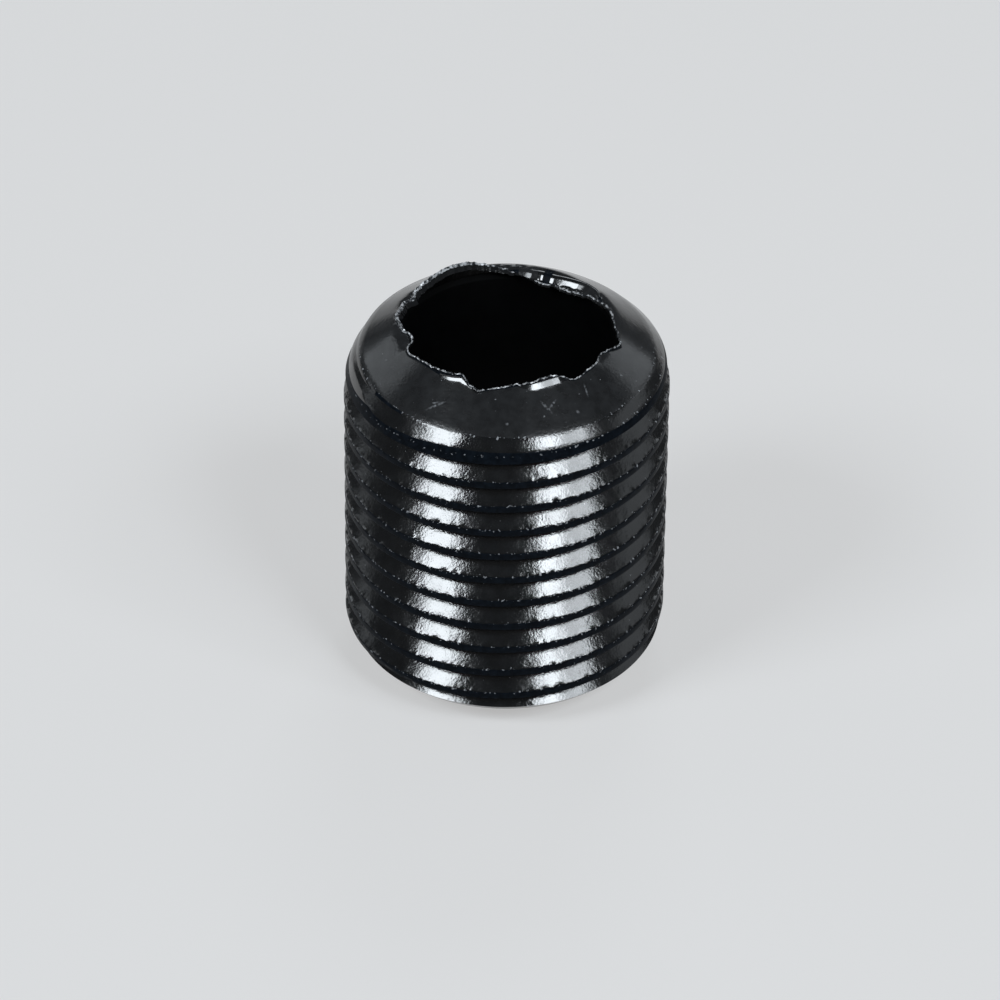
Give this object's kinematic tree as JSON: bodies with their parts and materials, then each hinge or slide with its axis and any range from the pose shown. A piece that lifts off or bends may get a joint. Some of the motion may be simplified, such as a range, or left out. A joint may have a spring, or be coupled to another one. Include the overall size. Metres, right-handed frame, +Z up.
{
  "type": "threaded pipe nipple",
  "caption": "Short black pipe nipple threaded outside from end to end, bevelled ends, open bore and a thin torn lip round its upper mouth.",
  "frame": {"origin": "on the pipe's axis, at the flat ring of the lower end that the piece stands on", "axes": "+Z up along the pipe's axis towards the torn lip, -Y the front, +X to the right seen from the front"},
  "size_m": [0.0104, 0.0104, 0.0127],
  "materials": {
    "black_finish": "gloss black over steel, satin on the bevels"
  },
  "bodies": {
    "root": {"nipple": "black_finish"}
  },
  "joints": []
}
